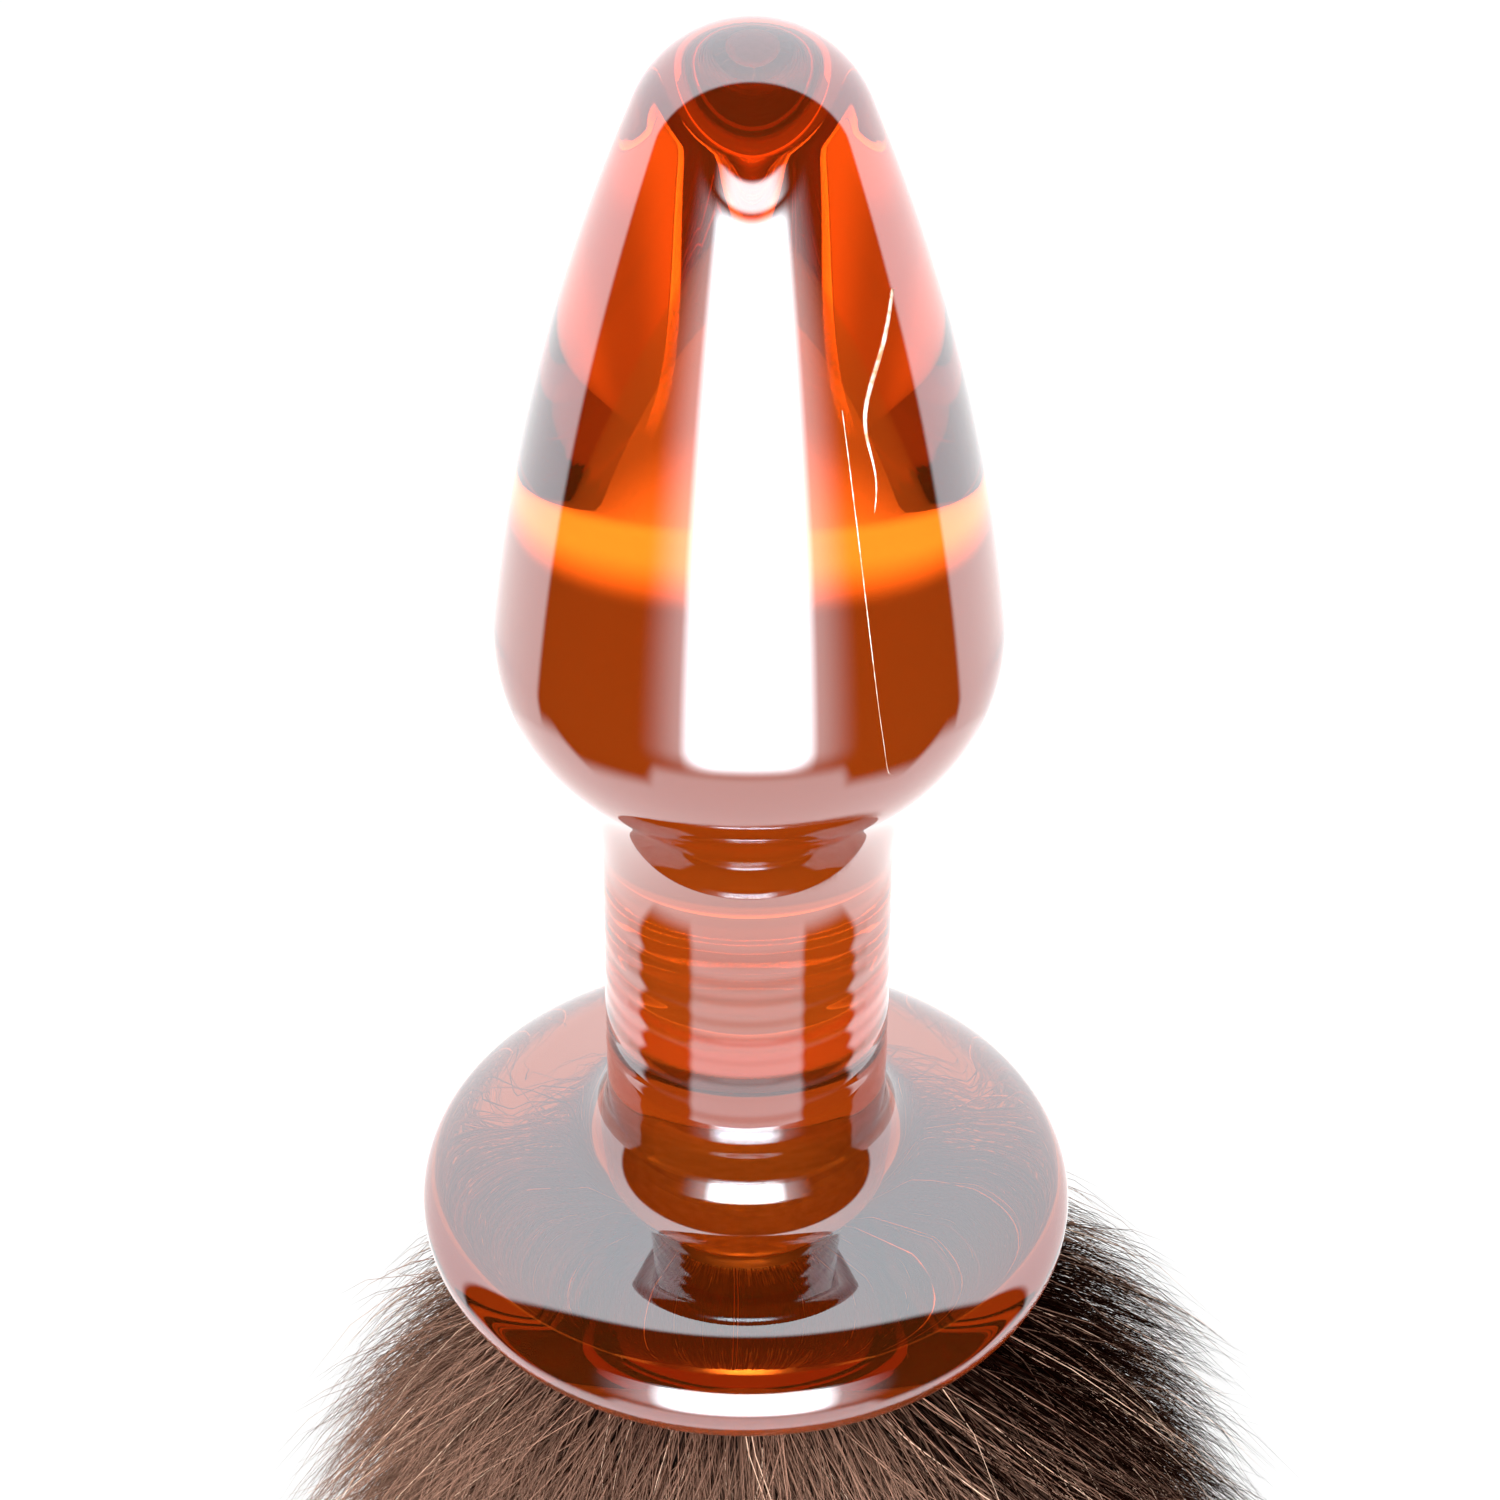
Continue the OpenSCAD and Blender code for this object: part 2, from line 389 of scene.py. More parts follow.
    def neck(self, low: float, high: float) -> np.ndarray:
        """Return points up the neck, with the faint rings that turning left in it.

        Args:
            low: the height where the neck starts.
            high: the height where it ends.

        Returns:
            Rows of radius and height.
        """
        z = np.linspace(low, high, 90)[1:-1]
        t = (z - low) / (high - low)
        fade = np.sin(math.pi * t) ** 0.5
        rings = np.sin(2 * math.pi * 5.3 * t + 0.6) + 0.7 * np.sin(2 * math.pi * 11.7 * t + 2.1)
        return np.stack([self.neck_r + self.ring_height * fade * rings, z], axis=1)

    def build(self) -> None:
        """Turn the plug and put it in the place of its plain node."""
        points, faces = lathe(self.outline(), self.turns)
        piece = mesh_piece("plug_glass", points, faces, [self.glass.material()])
        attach(piece, "plug")
        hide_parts("glass_plug")
        LOG.info("glass plug: %d faces", len(faces))


@dataclass(frozen=True)
class Flaw:
    """A hair-fine thread in the glass's skin, which runs down between two side angles.

    The side angle follows a power of the height, so the thread bows, with a small sway added.
    """

    top_side: float
    low_side: float
    top: float
    low: float
    bow: float
    sway: float
    width: float
    half_waves: int = 3

    def run(self, steps: int) -> tuple[np.ndarray, np.ndarray]:
        """Return the side angles in radians and the heights along the thread, from its top down.

        Args:
            steps: how many points to give.
        """
        t = np.linspace(0, 1, steps)
        side = self.low_side + (self.top_side - self.low_side) * (1 - t) ** self.bow
        side = side + self.sway * np.sin(self.half_waves * math.pi * t)
        return np.radians(side), self.top + (self.low - self.top) * t


@dataclass(frozen=True)
class GlassFlaws:
    """Two fine pale threads in the skin of the bulb, on its front right."""

    twisted: Flaw = Flaw(52, 32, 86 * MM, 73 * MM, 3.0, 1.5, 0.17 * MM)
    long: Flaw = Flaw(26, 33, 80 * MM, 54 * MM, 0.4, 0.0, 0.045 * MM)
    steps: int = 60
    proud: float = 0.01 * MM

    def material(self) -> bpy.types.Material:
        """Return a pale glassy thread."""
        material, sheet = new_material("pale_flaw")
        place = sheet.add("ShaderNodeTexCoord").outputs["Object"]
        noise = sheet.add("ShaderNodeTexNoise", {"Vector": place, "Scale": 1400.0, "Detail": 2.0})
        ramp = sheet.add("ShaderNodeValToRGB", {0: noise.outputs[0]})
        ramp.color_ramp.elements[0].position = 0.35
        ramp.color_ramp.elements[0].color = Tint(214, 150, 110).linear()
        ramp.color_ramp.elements[1].position = 0.65
        ramp.color_ramp.elements[1].color = Tint(255, 244, 232).linear()
        skin = sheet.add("ShaderNodeBsdfPrincipled", {"Base Color": ramp.outputs[0], "Roughness": 0.3})
        sheet.add("ShaderNodeOutputMaterial", {"Surface": skin.outputs[0]})
        return material

    def build(self, plug: GlassPlug) -> None:
        """Lay the threads on the bulb.

        Args:
            plug: the glass whose skin they lie in.
        """
        outline = plug.outline()
        upper = outline[outline[:, 1] > 0.5 * plug.height]
        material = self.material()
        for name, flaw in (("twisted", self.twisted), ("long", self.long)):
            side, z = flaw.run(self.steps)
            order = np.argsort(upper[:, 1])
            r = np.interp(z, upper[order, 1], upper[order, 0]) + self.proud
            path = np.stack([r * np.sin(side), -r * np.cos(side), z], axis=1)
            points, faces, _ = Fur.tubes(path[None], flaw.width)
            piece = mesh_piece(f"glass_flaw_{name}", points, faces, [material])
            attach(piece, "plug")
            LOG.info("%s: %d faces", piece.name, len(faces))


# --------------------------------------------------------------------------------------------------
# The tail: hide, filling, seam and fur
# --------------------------------------------------------------------------------------------------


@dataclass(frozen=True)
class Bend:
    """One bend of the tail and the stretch of hair that turns over it."""

    name: str
    above: str
    below: str
    top: float
    low: float
    start: float
    end: float
    locks: int
    coats: int
    hair_r: float


class Region(Enum):
    """The four stretches of the tail, each cut in the middle of a body and reaching over one bend."""

    THROAT = Bend(
        "throat", "plug", "tail_throat", -1.2 * MM, -27 * MM,
        0.0, -20 * MM, 640, 2, 0.050 * MM,
    )
    UPPER = Bend(
        "upper", "tail_throat", "tail_upper", -27 * MM, -82 * MM,
        -31 * MM, -59 * MM, 640, 2, 0.058 * MM,
    )
    MIDDLE = Bend(
        "middle", "tail_upper", "tail_middle", -82 * MM, -162 * MM,
        -100 * MM, -140 * MM, 640, 2, 0.075 * MM,
    )
    LOWER = Bend(
        "lower", "tail_middle", "tail_lower", -162 * MM, -300 * MM,
        -185 * MM, -225 * MM, 640, 2, 0.08 * MM,
    )


@dataclass(frozen=True)
class TailShape:
    """The tail's plain form: the hide's radius and the hair's outside at each height."""

    length: float = 330 * MM
    hide_top_z: float = -10 * MM
    hide_end_z: float = -292 * MM
    hide_top_r: float = 6.9 * MM
    hide_end_r: float = 3 * MM
    throat_r: float = 22 * MM
    full_r: float = 44 * MM
    spread: float = 35 * MM
    taper_z: float = 150 * MM

    def hide(self, z: np.ndarray) -> np.ndarray:
        """Return the hide's radius at each height."""
        t = np.clip((self.hide_top_z - z) / (self.hide_top_z - self.hide_end_z), 0, 1)
        return self.hide_top_r + (self.hide_end_r - self.hide_top_r) * t

    def hair(self, z: np.ndarray) -> np.ndarray:
        """Return the radius of the hair's outside at each height."""
        wide = self.throat_r + (self.full_r - self.throat_r) * (1 - np.exp(np.minimum(z, 0) / self.spread))
        u = np.clip((-z - self.taper_z) / (self.length - self.taper_z), 0, 1)
        return wide * np.maximum(1 - u**2, 0) ** 0.6


@dataclass(frozen=True)
class FurFinish:
    """Taupe hair with a brown root and tip, which grows near black along one stripe with fair hairs in it."""

    root: Tint = Tint(58, 34, 26)
    pale: Tint = Tint(158, 122, 104)
    tip: Tint = Tint(80, 50, 38)
    dark: Tint = Tint(26, 10, 6)
    fair: Tint = Tint(212, 182, 160)
    roughness: float = 0.50
    gloss: float = 0.0

    def material(self, name: str) -> bpy.types.Material:
        """Return the finish as a material that reads each strand's own shade.

        Args:
            name: the material's name.
        """
        material, sheet = new_material(name)
        along = sheet.add("ShaderNodeAttribute", attribute_name="along").outputs["Fac"]
        shade = sheet.add("ShaderNodeAttribute", attribute_name="shade").outputs["Fac"]
        stripe = sheet.add("ShaderNodeAttribute", attribute_name="stripe").outputs["Fac"]
        ramp = sheet.add("ShaderNodeValToRGB", {0: along})
        ramp.color_ramp.elements[0].position = 0.15
        ramp.color_ramp.elements[0].color = self.root.linear()
        ramp.color_ramp.elements[1].position = 1.0
        ramp.color_ramp.elements[1].color = self.tip.linear()
        ramp.color_ramp.elements.new(0.50).color = self.pale.linear()
        ramp.color_ramp.elements.new(0.82).color = self.pale.linear()
        dark = sheet.add(
            "ShaderNodeMix", {0: stripe, 6: ramp.outputs[0], 7: self.dark.linear()}, data_type="RGBA"
        )
        fair = sheet.add(
            "ShaderNodeMix",
            {0: sheet.step(shade, 0.93, 0.99), 6: dark.outputs[2], 7: self.fair.linear()},
            data_type="RGBA",
        )
        bright = sheet.math("MULTIPLY_ADD", shade, 1.3, 0.25)
        final = sheet.add("ShaderNodeHueSaturation", {"Value": bright, "Color": fair.outputs[2]})
        skin = sheet.add(
            "ShaderNodeBsdfPrincipled",
            {"Base Color": final.outputs[0], "Roughness": self.roughness, "Specular IOR Level": self.gloss},
        )
        sheet.add("ShaderNodeOutputMaterial", {"Surface": skin.outputs[0]})
        return material


@dataclass
class Fur:
    """The tail's hair, as tapered strands that gather into locks over a soft dark core."""

    shape: TailShape = field(default_factory=TailShape)
    finish: FurFinish = field(default_factory=FurFinish)
    strands_per_lock: int = 14
    path_points: int = 6
    seed: int = 20
    stripe_at: float = -12
    stripe_edge: float = 0.62
    widen: float = 0.24
    widen_over: float = 90 * MM
    lean: float = 3.4 * MM
    stray_share: float = 0.03
    stray_rise: float = 2.6 * MM
    most_rise: float = 3.4 * MM

    def guide(self, z0: np.ndarray, along: np.ndarray, reach: np.ndarray) -> np.ndarray:
        """Return hair paths in the plane of radius and height.

        Args:
            z0: the height of each root.
            along: how far along the path each wanted point is, from 0 to 1.
            reach: each hair's length against the full coat, near 1.

        Returns:
            Radius and height, one row for each root and one column for each point.
        """
        shape = self.shape
        throat = np.exp(z0 / (14 * MM))
        end_thin = np.clip((z0 - shape.hide_end_z) / (90 * MM), 0.0, 1.0)
        drop = (36 - 20 * throat + 6 * (1 - end_thin)) * MM * reach
        z3 = z0 - drop
        r0 = shape.hide(z0) - 0.4 * MM
        r3 = np.maximum(shape.hair(z3) * (0.55 + 0.45 * reach), 0.6 * MM)
        leave = np.radians(30 - 18 * throat + 28 * (1 - end_thin))
        land = np.radians(68 - 4 * throat)
        size = np.hypot(r3 - r0, drop)
        r1, z1 = r0 + 0.42 * size * np.cos(leave), z0 - 0.42 * size * np.sin(leave)
        r2, z2 = r3 - 0.36 * size * np.cos(land), z3 + 0.36 * size * np.sin(land)
        t = along[None, :]
        parts = ((1 - t) ** 3, 3 * t * (1 - t) ** 2, 3 * t**2 * (1 - t), t**3)
        r = sum(p * q[:, None] for p, q in zip(parts, (r0, r1, r2, r3)))
        z = sum(p * q[:, None] for p, q in zip(parts, (z0, z1, z2, z3)))
        return np.stack([r, z], axis=-1)

    def strands(self, bend: Bend, rng: np.random.Generator) -> dict[str, np.ndarray]:
        """Lay out the strands of one coat.

        Args:
            bend: the stretch of tail.
            rng: the source of chance.

        Returns:
            The paths, and the along, shade and stripe of each of their points.
        """
        count = bend.locks * self.strands_per_lock
        lock = np.repeat(np.arange(bend.locks), self.strands_per_lock)
        lock_z = bend.top + (bend.low - bend.top) * rng.random(bend.locks)
        lock_a = rng.random(bend.locks) * 2 * math.pi
        lock_reach = rng.uniform(0.72, 1.0, bend.locks)
        lock_lean = rng.normal(0, 0.16, bend.locks)
        lock_shade = rng.normal(0, 0.13, bend.locks)
        z0 = np.minimum(lock_z[lock] + rng.normal(0, 1.6 * MM, count), bend.top)
        angle = lock_a[lock] + rng.normal(0, 0.30, count)
        reach = np.clip(lock_reach[lock] + rng.normal(0, 0.07, count), 0.4, 1.12)
        t = np.linspace(0, 1, self.path_points)
        path = self.guide(z0, t, reach)
        gather = t[None, :] ** 1.4 * 0.72
        turn = angle[:, None] + (lock_a[lock] - angle)[:, None] * gather
        turn = turn + lock_lean[lock][:, None] * t[None, :] ** 1.5
        wave = rng.normal(0, 0.5 * MM, (count, 1)) * np.sin(
            t[None, :] * rng.uniform(3, 7, (count, 1)) + rng.uniform(0, 6.28, (count, 1))
        )
        stray = rng.random((count, 1)) < self.stray_share
        rise = rng.normal(0, 1.0, (count, 1)) * np.where(stray, self.stray_rise, 0.9 * MM) * t[None, :]
        rise = np.minimum(rise, self.most_rise)
        radius = np.maximum(path[..., 0] + wave * t[None, :] + rise, 0.1 * MM)
        height = path[..., 1] + wave * t[None, :]
        under_base = radius < 27 * MM
        height = np.where(under_base, np.minimum(height, -0.9 * MM), height)
        widen = self.widen * np.exp(height / self.widen_over) * t[None, :]
        sideways = radius * np.cos(turn) * (1 + widen) + self.lean * t[None, :]
        points = np.stack([sideways, radius * np.sin(turn), height], axis=-1)
        side = np.cos(angle - math.radians(self.stripe_at))
        stripe = np.clip((side - self.stripe_edge + rng.normal(0, 0.10, count)) / 0.25, 0, 1)
        stripe = np.where(rng.random(count) < 0.10, 0.30 * stripe, stripe)
        shade = np.clip(0.46 + lock_shade[lock] + rng.normal(0, 0.16, count), 0, 0.9)
        shade = np.where(rng.random(count) < 0.03, 1.0, shade)
        ones = np.ones_like(turn)
        return {
            "points": points,
            "along": ones * t[None, :],
            "shade": ones * shade[:, None],
            "stripe": ones * stripe[:, None],
        }

    @staticmethod
    def tubes(points: np.ndarray, hair_r: float) -> tuple[np.ndarray, list, np.ndarray]:
        """Wrap each path in a closed three-sided tube that narrows to its tip.

        Args:
            points: the paths, one row each.
            hair_r: the radius of a hair at its thickest.

        Returns:
            The vertices, the faces, and the number of the path point that each vertex belongs to.
        """
        count, steps = points.shape[:2]
        way = np.gradient(points, axis=1)
        way /= np.linalg.norm(way, axis=2, keepdims=True) + 1e-12
        out = points.copy()
        out[..., 2] = 0
        out /= np.linalg.norm(out, axis=2, keepdims=True) + 1e-12
        u = np.cross(way, out)
        u /= np.linalg.norm(u, axis=2, keepdims=True) + 1e-12
        v = np.cross(u, way)
        t = np.linspace(0, 1, steps)
        thick = hair_r * (0.55 + 0.45 * np.sin(math.pi * np.clip(t * 1.15 + 0.12, 0, 1))) * (1 - 0.55 * t**3)
        corners = []
        for k in range(3):
            a = 2 * math.pi * k / 3
            corners.append(points + thick[None, :, None] * (math.cos(a) * u + math.sin(a) * v))
        ring = np.stack(corners, axis=2)[:, :-1].reshape(count, -1, 3)
        vertices = np.concatenate([ring, points[:, -1:]], axis=1)
        per = vertices.shape[1]
        one = [(2, 1, 0)]
        for s in range(steps - 2):
            for k in range(3):
                a, b = s * 3 + k, s * 3 + (k + 1) % 3
                one.append((a, b, b + 3, a + 3))
        last = (steps - 2) * 3
        one += [(last + k, last + (k + 1) % 3, per - 1) for k in range(3)]
        faces = []
        for start in range(0, count * per, per):
            faces += [tuple(start + i for i in face) for face in one]
        owner = np.concatenate([np.repeat(np.arange(steps - 1), 3), [steps - 1]])
        number = (np.arange(count)[:, None] * steps + owner[None, :]).reshape(-1)
        return vertices.reshape(-1, 3), faces, number

    def coat(self, bend: Bend, layer: int, material: bpy.types.Material) -> bpy.types.Object:
        """Make one coat of strands over one bend.

        Args:
            bend: the stretch of tail.
            layer: which coat it is, from 0.
            material: its finish.

        Returns:
            The coat.
        """
        rng = np.random.default_rng(self.seed + 10 * layer + list(Region).index(Region(bend)))
        laid = self.strands(bend, rng)
        points, faces, number = self.tubes(laid["points"], bend.hair_r)
        piece = mesh_piece(f"fur_{bend.name}_coat_{layer + 1}", points, faces, [material])
        for name in ("along", "shade", "stripe"):
            data = piece.data.attributes.new(name, "FLOAT", "POINT")
            data.data.foreach_set("value", laid[name].reshape(-1)[number].astype(np.float32))
        return piece

    def core(self, bend: Bend, material: bpy.types.Material) -> bpy.types.Object:
        """Make the dense underfur that lies against the hide.

        Args:
            bend: the stretch of tail.
            material: its finish.

        Returns:
            The core, closed at both ends.
        """
        top = min(bend.top + 2 * MM, -2.4 * MM)
        low = bend.low - 2 * MM
        z = np.linspace(top, low, 60)
        t = np.clip((top - z) / (6 * MM), 0, 1)
        r = self.shape.hair(z) * 0.60
        if bend is Region.THROAT.value:
            r = r * np.sqrt(t * (2 - t))
        outline = np.vstack([[[0, low]], np.stack([r, z], axis=1)[::-1], [[0, top]]])
        points, faces = lathe(outline, 160)
        angle = np.arctan2(points[:, 1], points[:, 0])
        down = points[:, 2] / 0.05
        lump = 0.5 * np.sin(7 * angle + 90 * down) + 0.5 * np.sin(13 * angle - 60 * down)
        points[:, :2] *= (1 + 0.03 * lump)[:, None]
        return mesh_piece(f"fur_{bend.name}_core", points, faces, [material])

    def build(self) -> None:
        """Make every coat and core, and hide the plain fur node of each stretch."""
        material = self.finish.material("fur")
        core = UnderfurFinish().material("underfur")
        for region in Region:
            bend = region.value
            pieces = [self.coat(bend, layer, material) for layer in range(bend.coats)]
            pieces.append(self.core(bend, core))
            for piece in pieces:
                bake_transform(piece)
                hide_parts(f"fur_{bend.name}")
                LOG.info("%s: %d faces", piece.name, len(piece.data.polygons))


@dataclass(frozen=True)
class UnderfurFinish:
    """Dense dark underfur, streaked along the hair."""

    deep: Tint = Tint(20, 12, 10)
    light: Tint = Tint(62, 44, 37)

    def material(self, name: str) -> bpy.types.Material:
        """Return the finish as a material.

        Args:
            name: the material's name.
        """
        material, sheet = new_material(name)
        place = sheet.add("ShaderNodeTexCoord").outputs["Object"]
        streak = sheet.add("ShaderNodeMapping", {0: place, 3: (900, 900, 60)})
        noise = sheet.add("ShaderNodeTexNoise", {"Vector": streak.outputs[0], "Scale": 1.0, "Detail": 5.0})
        ramp = sheet.add("ShaderNodeValToRGB", {0: noise.outputs[0]})
        ramp.color_ramp.elements[0].position = 0.35
        ramp.color_ramp.elements[0].color = self.deep.linear()
        ramp.color_ramp.elements[1].position = 0.68
        ramp.color_ramp.elements[1].color = self.light.linear()
        bump = sheet.add("ShaderNodeBump", {"Height": noise.outputs[0], "Strength": 0.6, "Distance": 0.0006})
        skin = sheet.add(
            "ShaderNodeBsdfPrincipled",
            {
                "Base Color": ramp.outputs[0],
                "Roughness": 0.85,
                "Specular IOR Level": 0.05,
                "Normal": bump.outputs[0],
            },
        )
        sheet.add("ShaderNodeOutputMaterial", {"Surface": skin.outputs[0]})
        return material


# --------------------------------------------------------------------------------------------------
# The pieces that keep their plain shape: cap, adhesive, hide, filling and thread
# --------------------------------------------------------------------------------------------------


@dataclass(frozen=True)
class GrainFinish:
    """A finish whose colour and height both follow one stretched noise."""

    low: Tint
    high: Tint
    stretch: tuple[float, float, float]
    roughness: float
    bump_depth: float
    metallic: float = 0.0
    clear_share: float = 0.0

    def material(self, name: str) -> bpy.types.Material:
        """Return the finish as a material.

        Args:
            name: the material's name.
        """
        material, sheet = new_material(name)
        place = sheet.add("ShaderNodeTexCoord").outputs["Object"]
        grain = sheet.add("ShaderNodeMapping", {0: place, 3: self.stretch})
        noise = sheet.add(
            "ShaderNodeTexNoise", {"Vector": grain.outputs[0], "Scale": 1.0, "Detail": 6.0, "Roughness": 0.62}
        )
        ramp = sheet.add("ShaderNodeValToRGB", {0: noise.outputs[0]})
        ramp.color_ramp.elements[0].position = 0.34
        ramp.color_ramp.elements[0].color = self.low.linear()
        ramp.color_ramp.elements[1].position = 0.66
        ramp.color_ramp.elements[1].color = self.high.linear()
        bump = sheet.add(
            "ShaderNodeBump", {"Height": noise.outputs[0], "Strength": 0.7, "Distance": self.bump_depth}
        )
        uneven = sheet.add(
            "ShaderNodeMapRange",
            {"Value": noise.outputs[0], "To Min": self.roughness - 0.08, "To Max": self.roughness + 0.08},
        )
        skin = sheet.add(
            "ShaderNodeBsdfPrincipled",
            {
                "Base Color": ramp.outputs[0],
                "Roughness": uneven.outputs[0],
                "Metallic": self.metallic,
                "Transmission Weight": self.clear_share,
                "Normal": bump.outputs[0],
            },
        )
        sheet.add("ShaderNodeOutputMaterial", {"Surface": skin.outputs[0]})
        return material


class InnerFinish(Enum):
    """The finishes of the pieces that keep their plain shape."""

    CAP_METAL = GrainFinish(
        Tint(168, 168, 172), Tint(205, 205, 208), (400, 400, 9000), 0.32, 0.00002, metallic=1.0
    )
    ADHESIVE = GrainFinish(
        Tint(222, 206, 170), Tint(240, 228, 200), (900, 900, 900), 0.22, 0.00004, clear_share=0.6
    )
    HIDE = GrainFinish(Tint(150, 122, 96), Tint(188, 162, 134), (2600, 2600, 1900), 0.72, 0.00008)
    FILLING = GrainFinish(Tint(196, 190, 180), Tint(232, 228, 220), (1500, 1500, 500), 0.90, 0.00025)
    THREAD = GrainFinish(Tint(92, 70, 52), Tint(150, 122, 96), (5200, 5200, 5200), 0.60, 0.00006)


@dataclass(frozen=True)
class InnerParts:
    """Dresses the nodes that are not replaced."""

    finishes: tuple[tuple[str, InnerFinish], ...] = (
        ("tail_cap", InnerFinish.CAP_METAL),
        ("socket_adhesive", InnerFinish.ADHESIVE),
        ("cap_adhesive", InnerFinish.ADHESIVE),
        ("hide_", InnerFinish.HIDE),
        ("filling_", InnerFinish.FILLING),
        ("seam_", InnerFinish.THREAD),
        ("binding_thread", InnerFinish.THREAD),
    )

    def build(self, nodes: dict[str, bpy.types.Object]) -> None:
        """Give every plain node its finish.

        Args:
            nodes: the frame's nodes by name.
        """
        made = {finish: finish.value.material(finish.name.lower()) for finish in InnerFinish}
        for name, node in nodes.items():
            for start, finish in self.finishes:
                if name.startswith(start):
                    node.data.materials.clear()
                    node.data.materials.append(made[finish])
                    LOG.info("%s: %s", name, finish.name.lower())


# --------------------------------------------------------------------------------------------------
# Studio: surroundings, floor and camera
# --------------------------------------------------------------------------------------------------


@dataclass(frozen=True)
class Surroundings:
    """A white sweep behind and below, a dark room in front, and one tall soft light beside the camera.

    Directions are given as a rise above the horizon and as a side angle away from the front, both in degrees.
    """

    back_light: float = 2.9
    floor_light: float = 1.9
    strip_light: float = 26.0
    cap_light: float = 7.0
    room_light: float = 0.004
    wall_light: float = 0.40
    table_light: float = 4.2
    behind_sides: tuple[float, float] = (60, 115)
    band_top: tuple[float, float] = (-28, -38)
    band_low: tuple[float, float] = (-52, -43)
    band_fore: float = 0.2
    near_rises: tuple[float, float] = (-40, -52)
    near_light: float = 0.40
    close_rises: tuple[float, float] = (-56, -68)
    close_light: float = 0.9
    haze_share: float = 0.12
    table_edge: tuple[float, float] = (-31.0, -42.0)
    table_drop: float = 11.0
    matt_share: float = 0.36
    left_bias: float = 0.85
    back_tilt: float = 12
    back_edge: float = 0.11
    strip_half: float = 23
    strip_top: float = 14.6
    cap_top: float = 17.4
    strip_low: float = -29
    dark_from: float = 46
    dark_to: float = 94

    def build(self) -> None:
        """Make the world."""
        world = bpy.data.worlds.new("studio")
        bpy.context.scene.world = world
        world.use_nodes = True
        sheet = NodeSheet(world.node_tree)
        way = sheet.add("ShaderNodeTexCoord").outputs["Generated"]
        part = sheet.add("ShaderNodeSeparateXYZ", {0: way})
        front = sheet.math("MULTIPLY", part.outputs[1], -1.0)
        side = sheet.math("DEGREES", sheet.math("ABSOLUTE", sheet.math("ARCTAN2", part.outputs[0], front)))
        rise = sheet.math("DEGREES", sheet.math("ARCSINE", part.outputs[2]))
        back = sheet.math("MULTIPLY", self.back(sheet, way), sheet.step(rise, -170, 75))
        rest = sheet.math(
            "MAXIMUM", sheet.math("MULTIPLY", back, self.back_light), self.under(sheet, side, rise)
        )
        mirrored = sheet.math("ADD", sheet.math("ADD", self.strip(sheet, side, rise), self.room_light), rest)
        path = sheet.add("ShaderNodeLightPath")
        through = self.through(sheet, side, rise)
        left = sheet.add("ShaderNodeVectorMath", {0: way, 1: (-1, 0, 0)}, operation="DOT_PRODUCT")
        sided = sheet.math("MULTIPLY_ADD", left.outputs["Value"], self.left_bias, 1.0)
        matt = sheet.math("MULTIPLY", sheet.math("MULTIPLY", mirrored, sided), self.matt_share)
        power = sheet.add(
            "ShaderNodeMix",
            {0: path.outputs["Is Transmission Ray"], 2: mirrored, 3: through},
            data_type="FLOAT",
        )
        power = sheet.add(
            "ShaderNodeMix",
            {0: path.outputs["Is Diffuse Ray"], 2: power.outputs[0], 3: matt},
            data_type="FLOAT",
        )
        light = sheet.add("ShaderNodeBackground", {"Color": (1, 1, 1, 1), "Strength": power.outputs[0]})
        plain = sheet.add("ShaderNodeBackground", {"Color": (1, 1, 1, 1), "Strength": 1.0})
        mix = sheet.add(
            "ShaderNodeMixShader",
            {0: path.outputs["Is Camera Ray"], 1: light.outputs[0], 2: plain.outputs[0]},
        )
        sheet.add("ShaderNodeOutputWorld", {"Surface": mix.outputs[0]})

    def through(
        self, sheet: NodeSheet, side: bpy.types.NodeSocket, rise: bpy.types.NodeSocket
    ) -> bpy.types.NodeSocket:
        """Return the light that comes up through the glass: a dim wall, and a table lit in a band behind.

        Args:
            sheet: the world's nodes.
            side: the side angle.
            rise: the rise.
        """
        behind = sheet.step(side, *self.behind_sides)
        band = sheet.math("MULTIPLY", sheet.step(rise, *self.band_top), sheet.step(rise, *self.band_low))
        fore = self.band_fore
        band = sheet.math("MULTIPLY", sheet.math("MULTIPLY_ADD", behind, 1 - fore, fore), band)
        near = sheet.math("MULTIPLY", sheet.step(rise, *self.near_rises), self.near_light)
        close = sheet.math("MULTIPLY", sheet.step(rise, *self.close_rises), self.close_light)
        total = sheet.math("MULTIPLY_ADD", band, self.table_light, self.wall_light)
        return sheet.math("ADD", sheet.math("ADD", near, close), total)

    def back(self, sheet: NodeSheet, way: bpy.types.NodeSocket) -> bpy.types.NodeSocket:
        """Return how far a direction lies in the white sweep behind the plug.

        Args:
            sheet: the world's nodes.
            way: the direction.
        """
        tilt = math.radians(self.back_tilt)
        towards = sheet.add(
            "ShaderNodeVectorMath", {0: way, 1: (0, math.cos(tilt), math.sin(tilt))}, operation="DOT_PRODUCT"
        )
        return sheet.step(towards.outputs["Value"], self.back_edge - 0.03, self.back_edge + 0.03)

